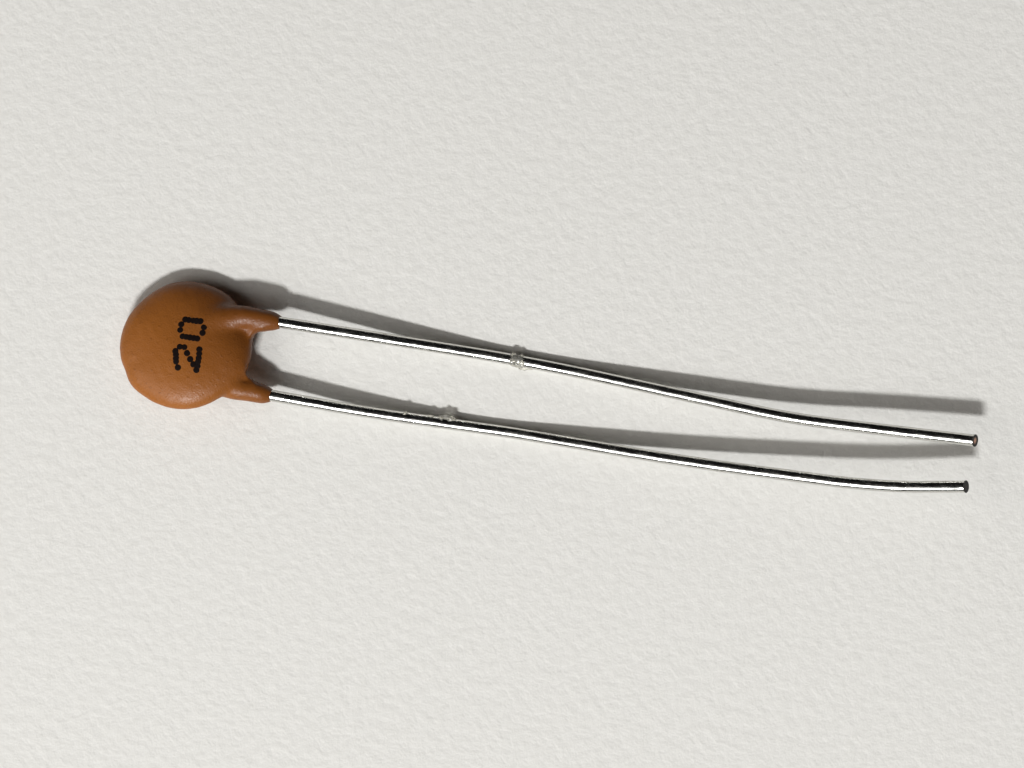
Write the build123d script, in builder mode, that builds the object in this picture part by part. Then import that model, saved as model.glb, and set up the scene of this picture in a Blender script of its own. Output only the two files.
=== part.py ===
"""Ceramic disc capacitor with two radial wire leads, lying on a flat surface.

A silvered ceramic disc carries one soldered wire on each face and is dipped in
a coating that runs a little way down both wires. The disc leans between its
wires, as such a disc does: the front wire lies on the face that looks up and
the back wire on the face that looks down, and both leave side by side.

The leads run along +X, the front lead lies on the +Y side, and Z = 0 is the
surface under the part. The origin is the middle of the part's footprint.
All sizes are in millimetres and all angles in degrees.
"""

import os
from math import acos, cos, radians, sin, tan

from build123d import *

os.makedirs("parts", exist_ok=True)

# Ceramic disc and its silvered faces
ceramic_d = 3.8
ceramic_t = 0.30
silver_margin = 0.30
silver_t = 0.02

# Lead wires
wire_d = 0.40
lead_length = 24.75
back_cut = 0.08
front_inset = 0.43
back_inset = 0.40
lead_start = 0.10
lead_splay = 0.42
tip_shear = 27.0

# Solder on each face
solder_film = 0.03
solder_foot = 0.45
solder_crest = 0.17
solder_length = 1.3
solder_lip = 0.10

# Dipped coating
rim_wall = 0.36
rim_r = 0.45
face_wall = 0.12
leg_length = 1.30
root_r = 0.34

# Sections of a leg, from inside the disc to its lip: distance past the kink of the wire as a
# share of the leg's length, wall beside the wire, wall over it, and shift to the disc's middle
leg_sections = [
    (-1.12, 0.20, 0.06, 0.16),
    (-0.62, 0.27, 0.16, 0.06),
    (0.00, 0.20, 0.16, 0.02),
    (0.35, 0.19, 0.145, 0.0),
    (0.73, 0.15, 0.13, 0.0),
    (1.00, 0.04, 0.035, 0.0),
]

# How the part lies: the disc's lean between its wires, and its rise towards them
lean = 13.0
rise = 3.0

# Corners of each bent lead: distance past the disc's rim as a share of the lead's length,
# sideways shift from the line on which it leaves the disc, and lift of the wire off the surface
front_corners = [(0.329, -0.06, 0.0), (0.434, -0.15, 0.0), (0.745, -0.64, 0.70), (0.871, -0.55, 0.97)]
front_tip = (lead_length, -0.44, 1.12)
back_corners = [
    (0.168, -0.12, 0.28),
    (0.305, -0.08, 0.0),
    (0.370, -0.06, 0.0),
    (0.616, -0.13, 0.57),
    (0.834, 0.00, 1.08),
    (0.907, 0.145, 1.22),
]
back_tip = (lead_length - back_cut, 0.505, 1.31)

# Share of the shorter run beside a corner that its bend takes up
bend_share = 0.45

# Levels and radii that follow from the sizes above
wire_r = wire_d / 2
silver_r = ceramic_d / 2 - silver_margin
silver_top = ceramic_t / 2 + silver_t
wire_level = silver_top + solder_film + wire_r
body_r = ceramic_d / 2 + rim_wall
half_t = wire_level + wire_r + face_wall
front_side = silver_r - front_inset
back_side = silver_r - back_inset

# The domed faces are arcs that run tangent into the rounded rim
rim_ring = body_r - rim_r
dome_r = (rim_ring**2 + half_t**2 - rim_r**2) / (2 * (half_t - rim_r))
dome_span = acos((dome_r - half_t) / (dome_r - rim_r))

# The disc rests on its lower dome
upright = cos(radians(lean)) * cos(radians(rise))
disc_z = dome_r - (dome_r - half_t) * upright
disc_x = -lead_length / 2
body_plane = Plane(origin=(disc_x, 0, disc_z)).rotated((-lean, -rise, 0))
body_axis = Axis(body_plane.origin, body_plane.z_dir)


def on_body(x: float, y: float, z: float) -> Vector:
    """Gives the place of a point that is known in the disc's own leaning frame."""
    return body_plane.from_local_coords(Vector(x, y, z))


def bend_radii(points: list[Vector]) -> list[float]:
    """Gives each corner of a path the largest bend that its two runs leave room for."""
    radii = []
    for before, corner, after in zip(points, points[1:], points[2:]):
        turn = radians((corner - before).get_angle(after - corner))
        shorter = min((corner - before).length, (after - corner).length)
        radii.append(bend_share * shorter / tan(turn / 2))
    return radii


def lead_route(side: float, corners: list[tuple], tip: tuple) -> list[Vector]:
    """Lists a lead's corners, from its soldered end on the disc's face to its cut tip.

    The sign of side says which face the wire lies on: plus for the front.
    """
    level = wire_level if side > 0 else -wire_level
    splay = lead_splay if side > 0 else -lead_splay
    start = on_body(lead_start, side - splay, level)
    kink = on_body(ceramic_d / 2, side, level)
    rim_x = disc_x + body_r
    bends = [(share * lead_length, shift, lift) for share, shift, lift in corners]
    outside = [Vector(rim_x + x, kink.Y + shift, wire_r + lift) for x, shift, lift in bends + [tip]]
    return [start, kink] + outside


front_points = lead_route(front_side, front_corners, front_tip)
back_points = lead_route(-back_side, back_corners, back_tip)


def make_lead(points: list[Vector], label: str) -> Part:
    """Sweeps a wire along its route and shears its tip, so that the cut face looks up."""
    with BuildPart() as lead:
        with BuildLine():
            route = FilletPolyline(*points, radius=bend_radii(points))
        with BuildSketch(Plane(origin=route @ 0, z_dir=route % 0)):
            Circle(wire_r)
        sweep(path=route)
        heading = route % 1
        across = Vector(0, 0, 1).cross(heading).normalized()
        face_dir = heading.rotate(Axis((0, 0, 0), across), -tip_shear)
        face_middle = route @ 1 - heading * wire_r * tan(radians(tip_shear))
        split(bisect_by=Plane(origin=face_middle, x_dir=across, z_dir=face_dir), keep=Keep.BOTTOM)
    lead.part.label = label
    return lead.part


def make_solder(points: list[Vector], wire: Part, label: str) -> Part:
    """Makes the solder that holds a wire to the silver: a low fillet up both sides of it.

    The solder wets only the silver, so it ends at the silver's edge.
    """
    seat, kink = (body_plane.to_local_coords(point) for point in points[:2])
    facing = 1 if seat.Z > 0 else -1
    heading = (points[1] - points[0]).normalized()
    foot = on_body(seat.X, seat.Y, facing * silver_top) - heading * solder_lip
    seat_plane = Plane(origin=foot, x_dir=body_plane.z_dir.cross(heading), z_dir=heading)
    crest = solder_film + wire_r
    with BuildPart() as solder:
        with BuildSketch(seat_plane):
            with BuildLine():
                Polyline(
                    (-solder_foot, 0),
                    (-solder_crest, facing * crest),
                    (solder_crest, facing * crest),
                    (solder_foot, 0),
                    close=True,
                )
            make_face()
        extrude(amount=solder_length)
        with BuildSketch(body_plane.offset(facing * silver_top)):
            Circle(silver_r)
        extrude(amount=facing * crest, mode=Mode.INTERSECT)
        add(wire, mode=Mode.SUBTRACT)
    solder.part.label = label
    return solder.part


# Ceramic disc
with BuildPart() as ceramic_disc:
    with BuildSketch(body_plane.offset(-ceramic_t / 2)):
        Circle(ceramic_d / 2)
    extrude(amount=ceramic_t)

# Silver films, fired on to both faces inside a bare margin
with BuildPart() as front_electrode:
    with BuildSketch(body_plane.offset(ceramic_t / 2)):
        Circle(silver_r)
    extrude(amount=silver_t)

with BuildPart() as back_electrode:
    with BuildSketch(body_plane.offset(-silver_top)):
        Circle(silver_r)
    extrude(amount=silver_t)

front_lead = make_lead(front_points, "front_lead")
back_lead = make_lead(back_points, "back_lead")
front_solder = make_solder(front_points, front_lead, "front_solder")
back_solder = make_solder(back_points, back_lead, "back_solder")


def make_leg(points: list[Vector]) -> Part:
    """Lofts a leg from a wide root inside the disc to a thin lip round the bare wire."""
    seat, kink, ahead = points[:3]
    facing = 1 if body_plane.to_local_coords(kink).Z > 0 else -1
    inner_run = (kink - seat).normalized()
    exit_run = (ahead - kink).normalized()
    with BuildPart() as leg:
        for share, side_wall, top_wall, shift in leg_sections:
            run = inner_run if share < 0 else exit_run
            middle = kink + run * share * leg_length - body_plane.z_dir * facing * shift
            with BuildSketch(Plane(origin=middle, x_dir=body_plane.y_dir, z_dir=body_plane.x_dir)):
                Ellipse(wire_r + side_wall, wire_r + top_wall)
        loft()
    return leg.part


# Dipped coating: a lens with a rounded rim, and two legs that run into it in wide fillets
with BuildPart() as coating:
    with BuildSketch(body_plane * Plane.XZ):
        with BuildLine():
            crown = (0, half_t)
            shoulder = (dome_r * sin(dome_span), half_t - dome_r * (1 - cos(dome_span)))
            low_shoulder = (shoulder[0], -shoulder[1])
            low_crown = (0, -half_t)
            RadiusArc(crown, shoulder, dome_r)
            ThreePointArc(shoulder, (body_r, 0), low_shoulder)
            RadiusArc(low_shoulder, low_crown, dome_r)
            Line(low_crown, crown)
        make_face()
    revolve(axis=body_axis)

    # The two longest of the new edges are the seam between the leg and the lens
    for points in (front_points, back_points):
        add(make_leg(points))
        seam = coating.edges(Select.NEW).sort_by(SortBy.LENGTH)[-2:]
        fillet(seam, root_r)

    # The coating is moulded on, so its cavity is the very shape of what it holds
    for held in (ceramic_disc.part, front_electrode.part, back_electrode.part):
        add(held, mode=Mode.SUBTRACT)
    for held in (front_lead, back_lead, front_solder, back_solder):
        add(held, mode=Mode.SUBTRACT)

ceramic_disc.part.label = "ceramic_disc"
front_electrode.part.label = "front_electrode"
back_electrode.part.label = "back_electrode"
coating.part.label = "coating"

export_step(ceramic_disc.part, "parts/ceramic_disc.step")
export_step(front_electrode.part, "parts/front_electrode.step")
export_step(back_electrode.part, "parts/back_electrode.step")
export_step(front_solder, "parts/front_solder.step")
export_step(back_solder, "parts/back_solder.step")
export_step(front_lead, "parts/front_lead.step")
export_step(back_lead, "parts/back_lead.step")
export_step(coating.part, "parts/coating.step")
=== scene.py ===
"""Looks of the ceramic disc capacitor, built round its CAD model.

The coating, the two lead wires, the printed digits and the specks of clear
residue are modelled here in millimetres and turned to metres as they are made.
"""

import logging
from collections.abc import Callable
from dataclasses import dataclass, field
from enum import Enum
from itertools import product
from math import acos, cos, pi, radians, sin, tan

import bpy
import numpy as np
from mathutils import Matrix, Vector
from mathutils.bvhtree import BVHTree

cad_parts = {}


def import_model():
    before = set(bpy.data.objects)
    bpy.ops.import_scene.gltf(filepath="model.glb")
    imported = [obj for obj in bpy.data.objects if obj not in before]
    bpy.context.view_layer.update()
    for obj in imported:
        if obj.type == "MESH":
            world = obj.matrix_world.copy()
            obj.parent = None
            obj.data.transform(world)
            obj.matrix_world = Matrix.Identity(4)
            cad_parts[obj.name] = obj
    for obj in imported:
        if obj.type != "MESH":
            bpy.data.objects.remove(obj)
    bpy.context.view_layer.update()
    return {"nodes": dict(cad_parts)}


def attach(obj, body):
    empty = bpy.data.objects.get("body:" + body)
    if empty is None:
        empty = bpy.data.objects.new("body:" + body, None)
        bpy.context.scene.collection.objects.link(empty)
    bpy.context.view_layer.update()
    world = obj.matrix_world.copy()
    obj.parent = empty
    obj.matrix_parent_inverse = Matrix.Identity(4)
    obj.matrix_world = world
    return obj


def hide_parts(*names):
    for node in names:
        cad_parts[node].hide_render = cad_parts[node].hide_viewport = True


MM = 0.001

# How much shorter the back lead is cut, in millimetres
BACK_CUT = 0.08

log = logging.getLogger("capacitor")


# Helpers


def linear(hex_colour: str) -> tuple[float, float, float, float]:
    """Turns an sRGB hex colour into linear RGBA.

    Args:
        hex_colour: Six hex digits, such as "8A5528".

    Returns:
        Red, green, blue and alpha, linear.
    """
    parts = [int(hex_colour[i : i + 2], 16) / 255 for i in (0, 2, 4)]
    red, green, blue = (c / 12.92 if c <= 0.04045 else ((c + 0.055) / 1.055) ** 2.4 for c in parts)
    return (red, green, blue, 1.0)


def add_node(
    tree: bpy.types.NodeTree,
    kind: str,
    settings: dict[str, object] | None = None,
    inputs: dict[str | int, object] | None = None,
) -> bpy.types.Node:
    """Adds a node with its settings, and fills or links its inputs.

    Args:
        tree: The node tree that the node goes into.
        kind: The node's type name.
        settings: Attributes of the node, such as its operation.
        inputs: Input name or index to a value, or to the socket that feeds it.

    Returns:
        The new node.
    """
    node = tree.nodes.new(kind)
    for name, value in (settings or {}).items():
        setattr(node, name, value)
    for key, value in (inputs or {}).items():
        if isinstance(value, bpy.types.NodeSocket):
            tree.links.new(value, node.inputs[key])
        else:
            node.inputs[key].default_value = value
    return node


def blank_material(
    name: str,
) -> tuple[bpy.types.Material, bpy.types.NodeTree, bpy.types.Node, bpy.types.NodeSocket]:
    """Makes a material with its shader and the coordinates of the piece that wears it.

    Args:
        name: Name of the material.

    Returns:
        The material, its node tree, its shader and the socket of the coordinates.
    """
    material = bpy.data.materials.new(name)
    material.use_nodes = True
    tree = material.node_tree
    place = add_node(tree, "ShaderNodeTexCoord").outputs["Object"]
    return material, tree, tree.nodes["Principled BSDF"], place


def blank_tree(
    name: str, inputs: tuple[tuple[str, str], ...]
) -> tuple[bpy.types.NodeTree, bpy.types.bpy_prop_collection]:
    """Makes a geometry tree that takes a geometry and named values, and gives a geometry.

    Args:
        name: Name of the tree.
        inputs: Name and socket type of each value.

    Returns:
        The tree, and the sockets that give its inputs.
    """
    tree = bpy.data.node_groups.new(name, "GeometryNodeTree")
    geometry = ("Geometry", "NodeSocketGeometry")
    for label, kind in (geometry, *inputs):
        tree.interface.new_socket(label, in_out="INPUT", socket_type=kind)
    tree.interface.new_socket(geometry[0], in_out="OUTPUT", socket_type=geometry[1])
    return tree, add_node(tree, "NodeGroupInput").outputs


def mesh_object(
    name: str, points: np.ndarray, faces: list[tuple[int, ...]] | np.ndarray, smooth: bool = True
) -> bpy.types.Object:
    """Makes a mesh object from points in millimetres in the row frame.

    Args:
        name: Name of the object and its mesh.
        points: N by 3 array of points.
        faces: Corner numbers of each face.
        smooth: Whether the faces are shaded smooth.

    Returns:
        The object, linked to the scene, with its origin at the row's origin.
    """
    mesh = bpy.data.meshes.new(name)
    mesh.from_pydata((np.asarray(points) * MM).tolist(), [], [tuple(map(int, f)) for f in faces])
    mesh.polygons.foreach_set("use_smooth", [smooth] * len(mesh.polygons))
    mesh.update()
    made = bpy.data.objects.new(name, mesh)
    bpy.context.scene.collection.objects.link(made)
    return made


def baked_copy(source: bpy.types.Object, name: str) -> bpy.types.Object:
    """Turns an object's evaluated modifiers into a plain mesh object.

    Args:
        source: The object with a live modifier, which is deleted.
        name: Name of the new object.

    Returns:
        A plain mesh object at the origin.
    """
    depsgraph = bpy.context.evaluated_depsgraph_get()
    mesh = bpy.data.meshes.new_from_object(source.evaluated_get(depsgraph))
    mesh.name = name
    source.modifiers.clear()
    bpy.data.objects.remove(source)
    made = bpy.data.objects.new(name, mesh)
    bpy.context.scene.collection.objects.link(made)
    return made


def run_tree(
    target: bpy.types.Object, tree: bpy.types.NodeTree, values: dict[str, object], name: str
) -> bpy.types.Object:
    """Runs a Geometry Nodes tree on an object and keeps the result as a plain mesh.

    Args:
        target: The object that the tree starts from.
        tree: The node group.
        values: Name of each group input to its value.
        name: Name of the resulting object.

    Returns:
        The plain mesh object.
    """
    modifier = target.modifiers.new("shape", "NODES")
    modifier.node_group = tree
    for item in tree.interface.items_tree:
        if item.in_out == "INPUT" and item.name in values:
            modifier[item.identifier] = values[item.name]
    target.update_tag()
    return baked_copy(target, name)


class Ripple:
    """Smooth, repeatable unevenness: a sum of plane waves with seeded directions."""

    def __init__(self, size: float, seed: int, waves: int = 14, spread: float = 0.3) -> None:
        """Draws the waves.

        Args:
            size: Rough width of one bump in millimetres.
            seed: Seed of the draw.
            waves: How many waves are added up.
            spread: By what share the waves' lengths differ from the bump's.
        """
        rng = np.random.default_rng(seed)
        way = rng.normal(size=(3, waves))
        way /= np.linalg.norm(way, axis=0)
        self.wave = way * (pi / size) * rng.uniform(1 - spread, 1 + spread, waves)
        self.phase = rng.uniform(0, 2 * pi, waves)
        self.scale = (2 / waves) ** 0.5

    def __call__(self, points: np.ndarray) -> np.ndarray:
        """Gives the ripple's height, mostly between -1 and 1, at each point."""
        return np.sin(points @ self.wave + self.phase).sum(axis=-1) * self.scale


def smooth_step(low: float, high: float, value: np.ndarray) -> np.ndarray:
    """Rises smoothly from 0 at low to 1 at high."""
    t = np.clip((value - low) / (high - low), 0, 1)
    return t * t * (3 - 2 * t)


def melt(a: np.ndarray, b: np.ndarray, reach: float) -> np.ndarray:
    """Joins two distance fields with a concave fillet.

    Args:
        a: First distance field.
        b: Second distance field.
        reach: How far apart the two may be where they still run together.

    Returns:
        The joined distance field.
    """
    h = np.clip(reach - np.abs(a - b), 0, None) / reach
    return np.minimum(a, b) - h**3 * reach / 6


def surface_net(values: np.ndarray, origin: np.ndarray, step: float) -> tuple[np.ndarray, np.ndarray]:
    """Wraps the zero level of a distance field in quads, with their normals outwards.

    Args:
        values: Distances on a regular grid, negative inside.
        origin: The grid's first corner.
        step: The grid's spacing.

    Returns:
        The points and the quads.
    """
    inside = values < 0
    cells = tuple(n - 1 for n in values.shape)
    total = np.zeros(cells + (3,))
    count = np.zeros(cells)
    for axis in range(3):
        others = [k for k in range(3) if k != axis]
        for b, c in product((0, 1), repeat=2):
            near = [0, 0, 0]
            near[others[0]], near[others[1]] = b, c
            far = list(near)
            far[axis] = 1
            v0 = values[tuple(slice(o, o + n) for o, n in zip(near, cells))]
            v1 = values[tuple(slice(o, o + n) for o, n in zip(far, cells))]
            cross = (v0 < 0) != (v1 < 0)
            t = np.where(cross, v0 / np.where(cross, v0 - v1, 1), 0)
            total[..., axis] += t
            total[..., others[0]] += cross * b
            total[..., others[1]] += cross * c
            count += cross
    active = count > 0
    number = np.full(cells, -1)
    number[active] = np.arange(active.sum())
    corner = np.argwhere(active)
    points = origin + step * (corner + total[active] / count[active][:, None])
    quads = []
    for axis in range(3):
        u, v = (axis + 1) % 3, (axis + 2) % 3
        first = np.take(inside, range(inside.shape[axis] - 1), axis)
        second = np.take(inside, range(1, inside.shape[axis]), axis)
        edge = np.argwhere(first != second)
        edge = edge[(edge[:, u] > 0) & (edge[:, v] > 0) & (edge[:, u] < cells[u]) & (edge[:, v] < cells[v])]
        ring = []
        for du, dv in ((-1, -1), (0, -1), (0, 0), (-1, 0)):
            cell = edge.copy()
            cell[:, u] += du
            cell[:, v] += dv
            ring.append(number[tuple(cell.T)])
        quad = np.stack(ring, axis=1)
        leaves = first[tuple(edge.T)]
        quads.append(np.where(leaves[:, None], quad, quad[:, ::-1]))
    return points, np.concatenate(quads)


def solid_from_field(
    distance: Callable[[np.ndarray], np.ndarray],
    low: np.ndarray,
    high: np.ndarray,
    step: float,
    passes: int = 3,
    pull: float = 0.8,
    least_slope: float = 0.2,
) -> tuple[np.ndarray, np.ndarray]:
    """Meshes a distance field and draws its points on to the exact surface.

    Args:
        distance: Function from N by 3 points to distances.
        low: Lowest corner of the space that is searched.
        high: Highest corner of that space.
        step: Grid spacing.
        passes: How often the points are drawn on to the surface.
        pull: Share of the way to the surface that one pass draws a point.
        least_slope: Lowest square of the field's slope that a pass trusts.

    Returns:
        The points and the quads.
    """
    axes = [np.arange(a, b + step, step) for a, b in zip(low, high)]
    grid = np.stack(np.meshgrid(*axes, indexing="ij"), axis=-1)
    values = distance(grid.reshape(-1, 3)).reshape(grid.shape[:-1])
    points, quads = surface_net(values, np.array(low), step)
    nudge = step / 8
    for _ in range(passes):
        here = distance(points)
        slope = np.stack(
            [(distance(points + nudge * e) - distance(points - nudge * e)) / (2 * nudge) for e in np.eye(3)],
            axis=1,
        )
        steep = np.clip((slope**2).sum(axis=1), least_slope, None)
        points = points - pull * (here / steep)[:, None] * slope
    return points, quads


# How the part lies


@dataclass(frozen=True)
class Lie:
    """Sizes that the disc and its leads share, and how the disc leans between them, in millimetres."""

    body_r: float = 2.26
    rim_r: float = 0.45
    half_t: float = 0.72
    wire_r: float = 0.20
    wire_level: float = 0.40
    ceramic_r: float = 1.9
    lean: float = 13.0
    rise: float = 3.0
    reach: float = 24.75

    @property
    def rim_ring(self) -> float:
        """Radius of the ring on which the rounded rim is centred."""
        return self.body_r - self.rim_r

    @property
    def dome_r(self) -> float:
        """Radius of the domed faces."""
        return (self.rim_ring**2 + self.half_t**2 - self.rim_r**2) / (2 * (self.half_t - self.rim_r))

    @property
    def turn(self) -> np.ndarray:
        """Rotation from the disc's own frame to the row frame."""
        return np.array(
            Matrix.Rotation(radians(-self.lean), 3, "X") @ Matrix.Rotation(radians(-self.rise), 3, "Y")
        )

    @property
    def centre(self) -> np.ndarray:
        """Middle of the disc in the row frame."""
        upright = cos(radians(self.lean)) * cos(radians(self.rise))
        return np.array([-self.reach / 2, 0, self.dome_r - (self.dome_r - self.half_t) * upright])

    def place(self, points: np.ndarray) -> np.ndarray:
        """Takes points from the disc's own frame to the row frame."""
        return np.asarray(points) @ self.turn.T + self.centre

    def local(self, points: np.ndarray) -> np.ndarray:
        """Takes points from the row frame to the disc's own frame."""
        return (np.asarray(points) - self.centre) @ self.turn


class Face(Enum):
    """Which face of the disc a lead lies on."""

    FRONT = 1
    BACK = -1


# Finishes

# A name that ends in mm is a width or a depth in millimetres, a span holds the two levels of
# the noise between which a mark fades in, and a mix says how strongly the mark covers


@dataclass(frozen=True)
class PhenolicCoating:
    """Dipped phenolic resin: an ochre-brown powder-filled skin with a satin, slightly pebbled face."""

    base: str = "92561F"
    warm: str = "9C5F26"
    # Darker brown of the grain, and also of the painted shade towards the legs' side
    grain_and_shade_brown: str = "552C0C"
    roughness: float = 0.40
    gloss_spread: tuple[float, float] = (-0.1, 0.12)
    specular: float = 0.36
    cloud_mm: float = 1.2
    grain_mm: float = 0.13
    grain_span: tuple[float, float] = (0.58, 0.78)
    grain_mix: float = 0.55
    painted_shade_mix: float = 0.6
    pimple_mm: float = 0.13
    pimple_span: tuple[float, float] = (0.58, 0.80)
    pimple_bump: float = 0.22
    pebble_mm: float = 0.055
    pebble_span: tuple[float, float] = (0.3, 0.7)
    pebble_bump: float = 0.45
    bump_mm: float = 0.025

    def build(self) -> bpy.types.Material:
        """Builds the material: clouded brown, fine darker grain, painted shade towards the legs' side and a
        soft pebble in its gloss.

        Returns:
            The material.
        """
        material, tree, shader, place = blank_material("dipped_phenolic")
        cloud = add_node(
            tree,
            "ShaderNodeTexNoise",
            inputs={"Vector": place, "Scale": 1 / (self.cloud_mm * MM), "Detail": 3.0, "Roughness": 0.5},
        )
        tone = add_node(
            tree,
            "ShaderNodeMix",
            {"data_type": "RGBA"},
            {0: cloud.outputs["Fac"], 6: linear(self.base), 7: linear(self.warm)},
        )
        grain = add_node(
            tree,
            "ShaderNodeTexNoise",
            inputs={"Vector": place, "Scale": 1 / (self.grain_mm * MM), "Detail": 4.0, "Roughness": 0.65},
        )
        first, last = self.grain_span
        speck = add_node(
            tree,
            "ShaderNodeMapRange",
            inputs={0: grain.outputs["Fac"], 1: first, 2: last, 3: 0.0, 4: self.grain_mix},
        )
        grained = add_node(
            tree,
            "ShaderNodeMix",
            {"data_type": "RGBA"},
            {0: speck.outputs[0], 6: tone.outputs[2], 7: linear(self.grain_and_shade_brown)},
        )
        # Painted shade: darker brown towards the upper right, the legs' side, which faces away from the lamps
        painted_shade = add_node(
            tree, "ShaderNodeAttribute", {"attribute_name": "painted_shade", "attribute_type": "GEOMETRY"}
        )
        shade_amount = add_node(
            tree,
            "ShaderNodeMapRange",
            inputs={0: painted_shade.outputs["Fac"], 1: 0.0, 2: 1.0, 3: 0.0, 4: self.painted_shade_mix},
        )
        colour = add_node(
            tree,
            "ShaderNodeMix",
            {"data_type": "RGBA"},
            {0: shade_amount.outputs[0], 6: grained.outputs[2], 7: linear(self.grain_and_shade_brown)},
        )
        pimple = add_node(
            tree,
            "ShaderNodeTexNoise",
            inputs={"Vector": place, "Scale": 1 / (self.pimple_mm * MM), "Detail": 1.0},
        )
        first, last = self.pimple_span
        raised = add_node(
            tree, "ShaderNodeMapRange", inputs={0: pimple.outputs["Fac"], 1: first, 2: last, 3: 0.0, 4: 1.0}
        )
        depth = self.bump_mm * MM
        pimples = add_node(
            tree,
            "ShaderNodeBump",
            inputs={"Height": raised.outputs[0], "Strength": self.pimple_bump, "Distance": depth},
        )
        pebble = add_node(
            tree,
            "ShaderNodeTexNoise",
            inputs={"Vector": place, "Scale": 1 / (self.pebble_mm * MM), "Detail": 3.0, "Roughness": 0.55},
        )
        gloss = add_node(
            tree,
            "ShaderNodeMapRange",
            inputs={
                0: pebble.outputs["Fac"],
                1: self.pebble_span[0],
                2: self.pebble_span[1],
                3: self.roughness + self.gloss_spread[0],
                4: self.roughness + self.gloss_spread[1],
            },
        )
        bump = add_node(
            tree,
            "ShaderNodeBump",
            inputs={
                "Height": pebble.outputs["Fac"],
                "Strength": self.pebble_bump,
                "Distance": depth,
                "Normal": pimples.outputs["Normal"],
            },
        )
        tree.links.new(colour.outputs[2], shader.inputs["Base Color"])
        tree.links.new(gloss.outputs[0], shader.inputs["Roughness"])
        tree.links.new(bump.outputs["Normal"], shader.inputs["Normal"])
        shader.inputs["Specular IOR Level"].default_value = self.specular
        return material


@dataclass(frozen=True)
class TinnedWire:
    """Tin plate on drawn wire: bright along its length, with fine draw lines and dull scuffs."""

    tin: str = "D9D8D3"
    dull: str = "8C8A80"
    roughness: float = 0.11
    scuffed: float = 0.25
    scuff_mm: float = 0.12
    scuff_stretch: float = 0.25
    scuff_span: tuple[float, float] = (0.60, 0.68)
    scuff_mix: float = 0.8
    wear_span: tuple[float, float] = (0.35, 0.7)

    # Real draw lines are finer, and these are as coarse as they need to be to show
    draw_mm: float = 0.03
    draw_stretch: float = 0.05
    draw_bump: float = 0.1
    bump_mm: float = 0.004

    def build(self) -> bpy.types.Material:
        """Builds the material: metal with scuffs that dull it and lines that run along the wire.

        Returns:
            The material.
        """
        material, tree, shader, place = blank_material("tinned_wire")
        along = add_node(
            tree, "ShaderNodeMapping", inputs={"Vector": place, "Scale": (self.scuff_stretch, 1.0, 1.0)}
        ).outputs[0]
        scuff = add_node(
            tree,
            "ShaderNodeTexNoise",
            inputs={"Vector": along, "Scale": 1 / (self.scuff_mm * MM), "Detail": 5.0, "Roughness": 0.7},
        )
        first, last = self.scuff_span
        mark = add_node(
            tree,
            "ShaderNodeMapRange",
            inputs={0: scuff.outputs["Fac"], 1: first, 2: last, 3: 0.0, 4: self.scuff_mix},
        )
        colour = add_node(
            tree,
            "ShaderNodeMix",
            {"data_type": "RGBA"},
            {0: mark.outputs[0], 6: linear(self.tin), 7: linear(self.dull)},
        )
        gloss = add_node(
            tree,
            "ShaderNodeMapRange",
            inputs={
                0: scuff.outputs["Fac"],
                1: self.wear_span[0],
                2: self.wear_span[1],
                3: self.roughness,
                4: self.roughness + self.scuffed,
            },
        )
        stretched = add_node(
            tree, "ShaderNodeMapping", inputs={"Vector": place, "Scale": (self.draw_stretch, 1.0, 1.0)}
        ).outputs[0]
        lines = add_node(
            tree,
            "ShaderNodeTexNoise",
            inputs={"Vector": stretched, "Scale": 1 / (self.draw_mm * MM), "Detail": 2.0},
        )
        bump = add_node(
            tree,
            "ShaderNodeBump",
            inputs={
                "Height": lines.outputs["Fac"],
                "Strength": self.draw_bump,
                "Distance": self.bump_mm * MM,
            },
        )
        tree.links.new(colour.outputs[2], shader.inputs["Base Color"])
        tree.links.new(gloss.outputs[0], shader.inputs["Roughness"])
        tree.links.new(bump.outputs["Normal"], shader.inputs["Normal"])
        shader.inputs["Metallic"].default_value = 1.0
        return material


@dataclass(frozen=True)
class CutEnd:
    """Sheared end of copper-clad wire: a dark torn ring round a brownish copper core."""

    core: str = "D3A48E"
    ring: str = "0D0B0A"
    ring_span: tuple[float, float] = (0.35, 0.95)
    ragged_mm: float = 0.12
    roughness: float = 0.38
    grain_mm: float = 0.05
    bump: float = 0.6
    bump_mm: float = 0.01

    def build(self, name: str, middle: np.ndarray, wire_r: float) -> bpy.types.Material:
        """Builds the material of one cut face.

        Args:
            name: Name of the material.
            middle: Middle of the face in the row frame, in millimetres.
            wire_r: Radius of the wire.

        Returns:
            The material.
        """
        material, tree, shader, place = blank_material(name)
        away = add_node(
            tree, "ShaderNodeVectorMath", {"operation": "DISTANCE"}, {0: place, 1: tuple(middle * MM)}
        ).outputs["Value"]
        grain = add_node(
            tree,
            "ShaderNodeTexNoise",
            inputs={"Vector": place, "Scale": 1 / (self.grain_mm * MM), "Detail": 4.0, "Roughness": 0.7},
        ).outputs["Fac"]
        ragged = add_node(
            tree, "ShaderNodeMath", {"operation": "MULTIPLY_ADD"}, {0: grain, 1: self.ragged_mm * MM, 2: away}
        ).outputs[0]
        first, last = (share * wire_r * MM for share in self.ring_span)
        edge = add_node(
            tree, "ShaderNodeMapRange", inputs={0: ragged, 1: first, 2: last, 3: 0.0, 4: 1.0}
        ).outputs[0]
        colour = add_node(
            tree,
            "ShaderNodeMix",
            {"data_type": "RGBA"},
            {0: edge, 6: linear(self.core), 7: linear(self.ring)},
        )
        bump = add_node(
            tree,
            "ShaderNodeBump",
            inputs={"Height": grain, "Strength": self.bump, "Distance": self.bump_mm * MM},
        )
        tree.links.new(colour.outputs[2], shader.inputs["Base Color"])
        tree.links.new(bump.outputs["Normal"], shader.inputs["Normal"])
        shader.inputs["Metallic"].default_value = 1.0
        shader.inputs["Roughness"].default_value = self.roughness
        return material


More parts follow.
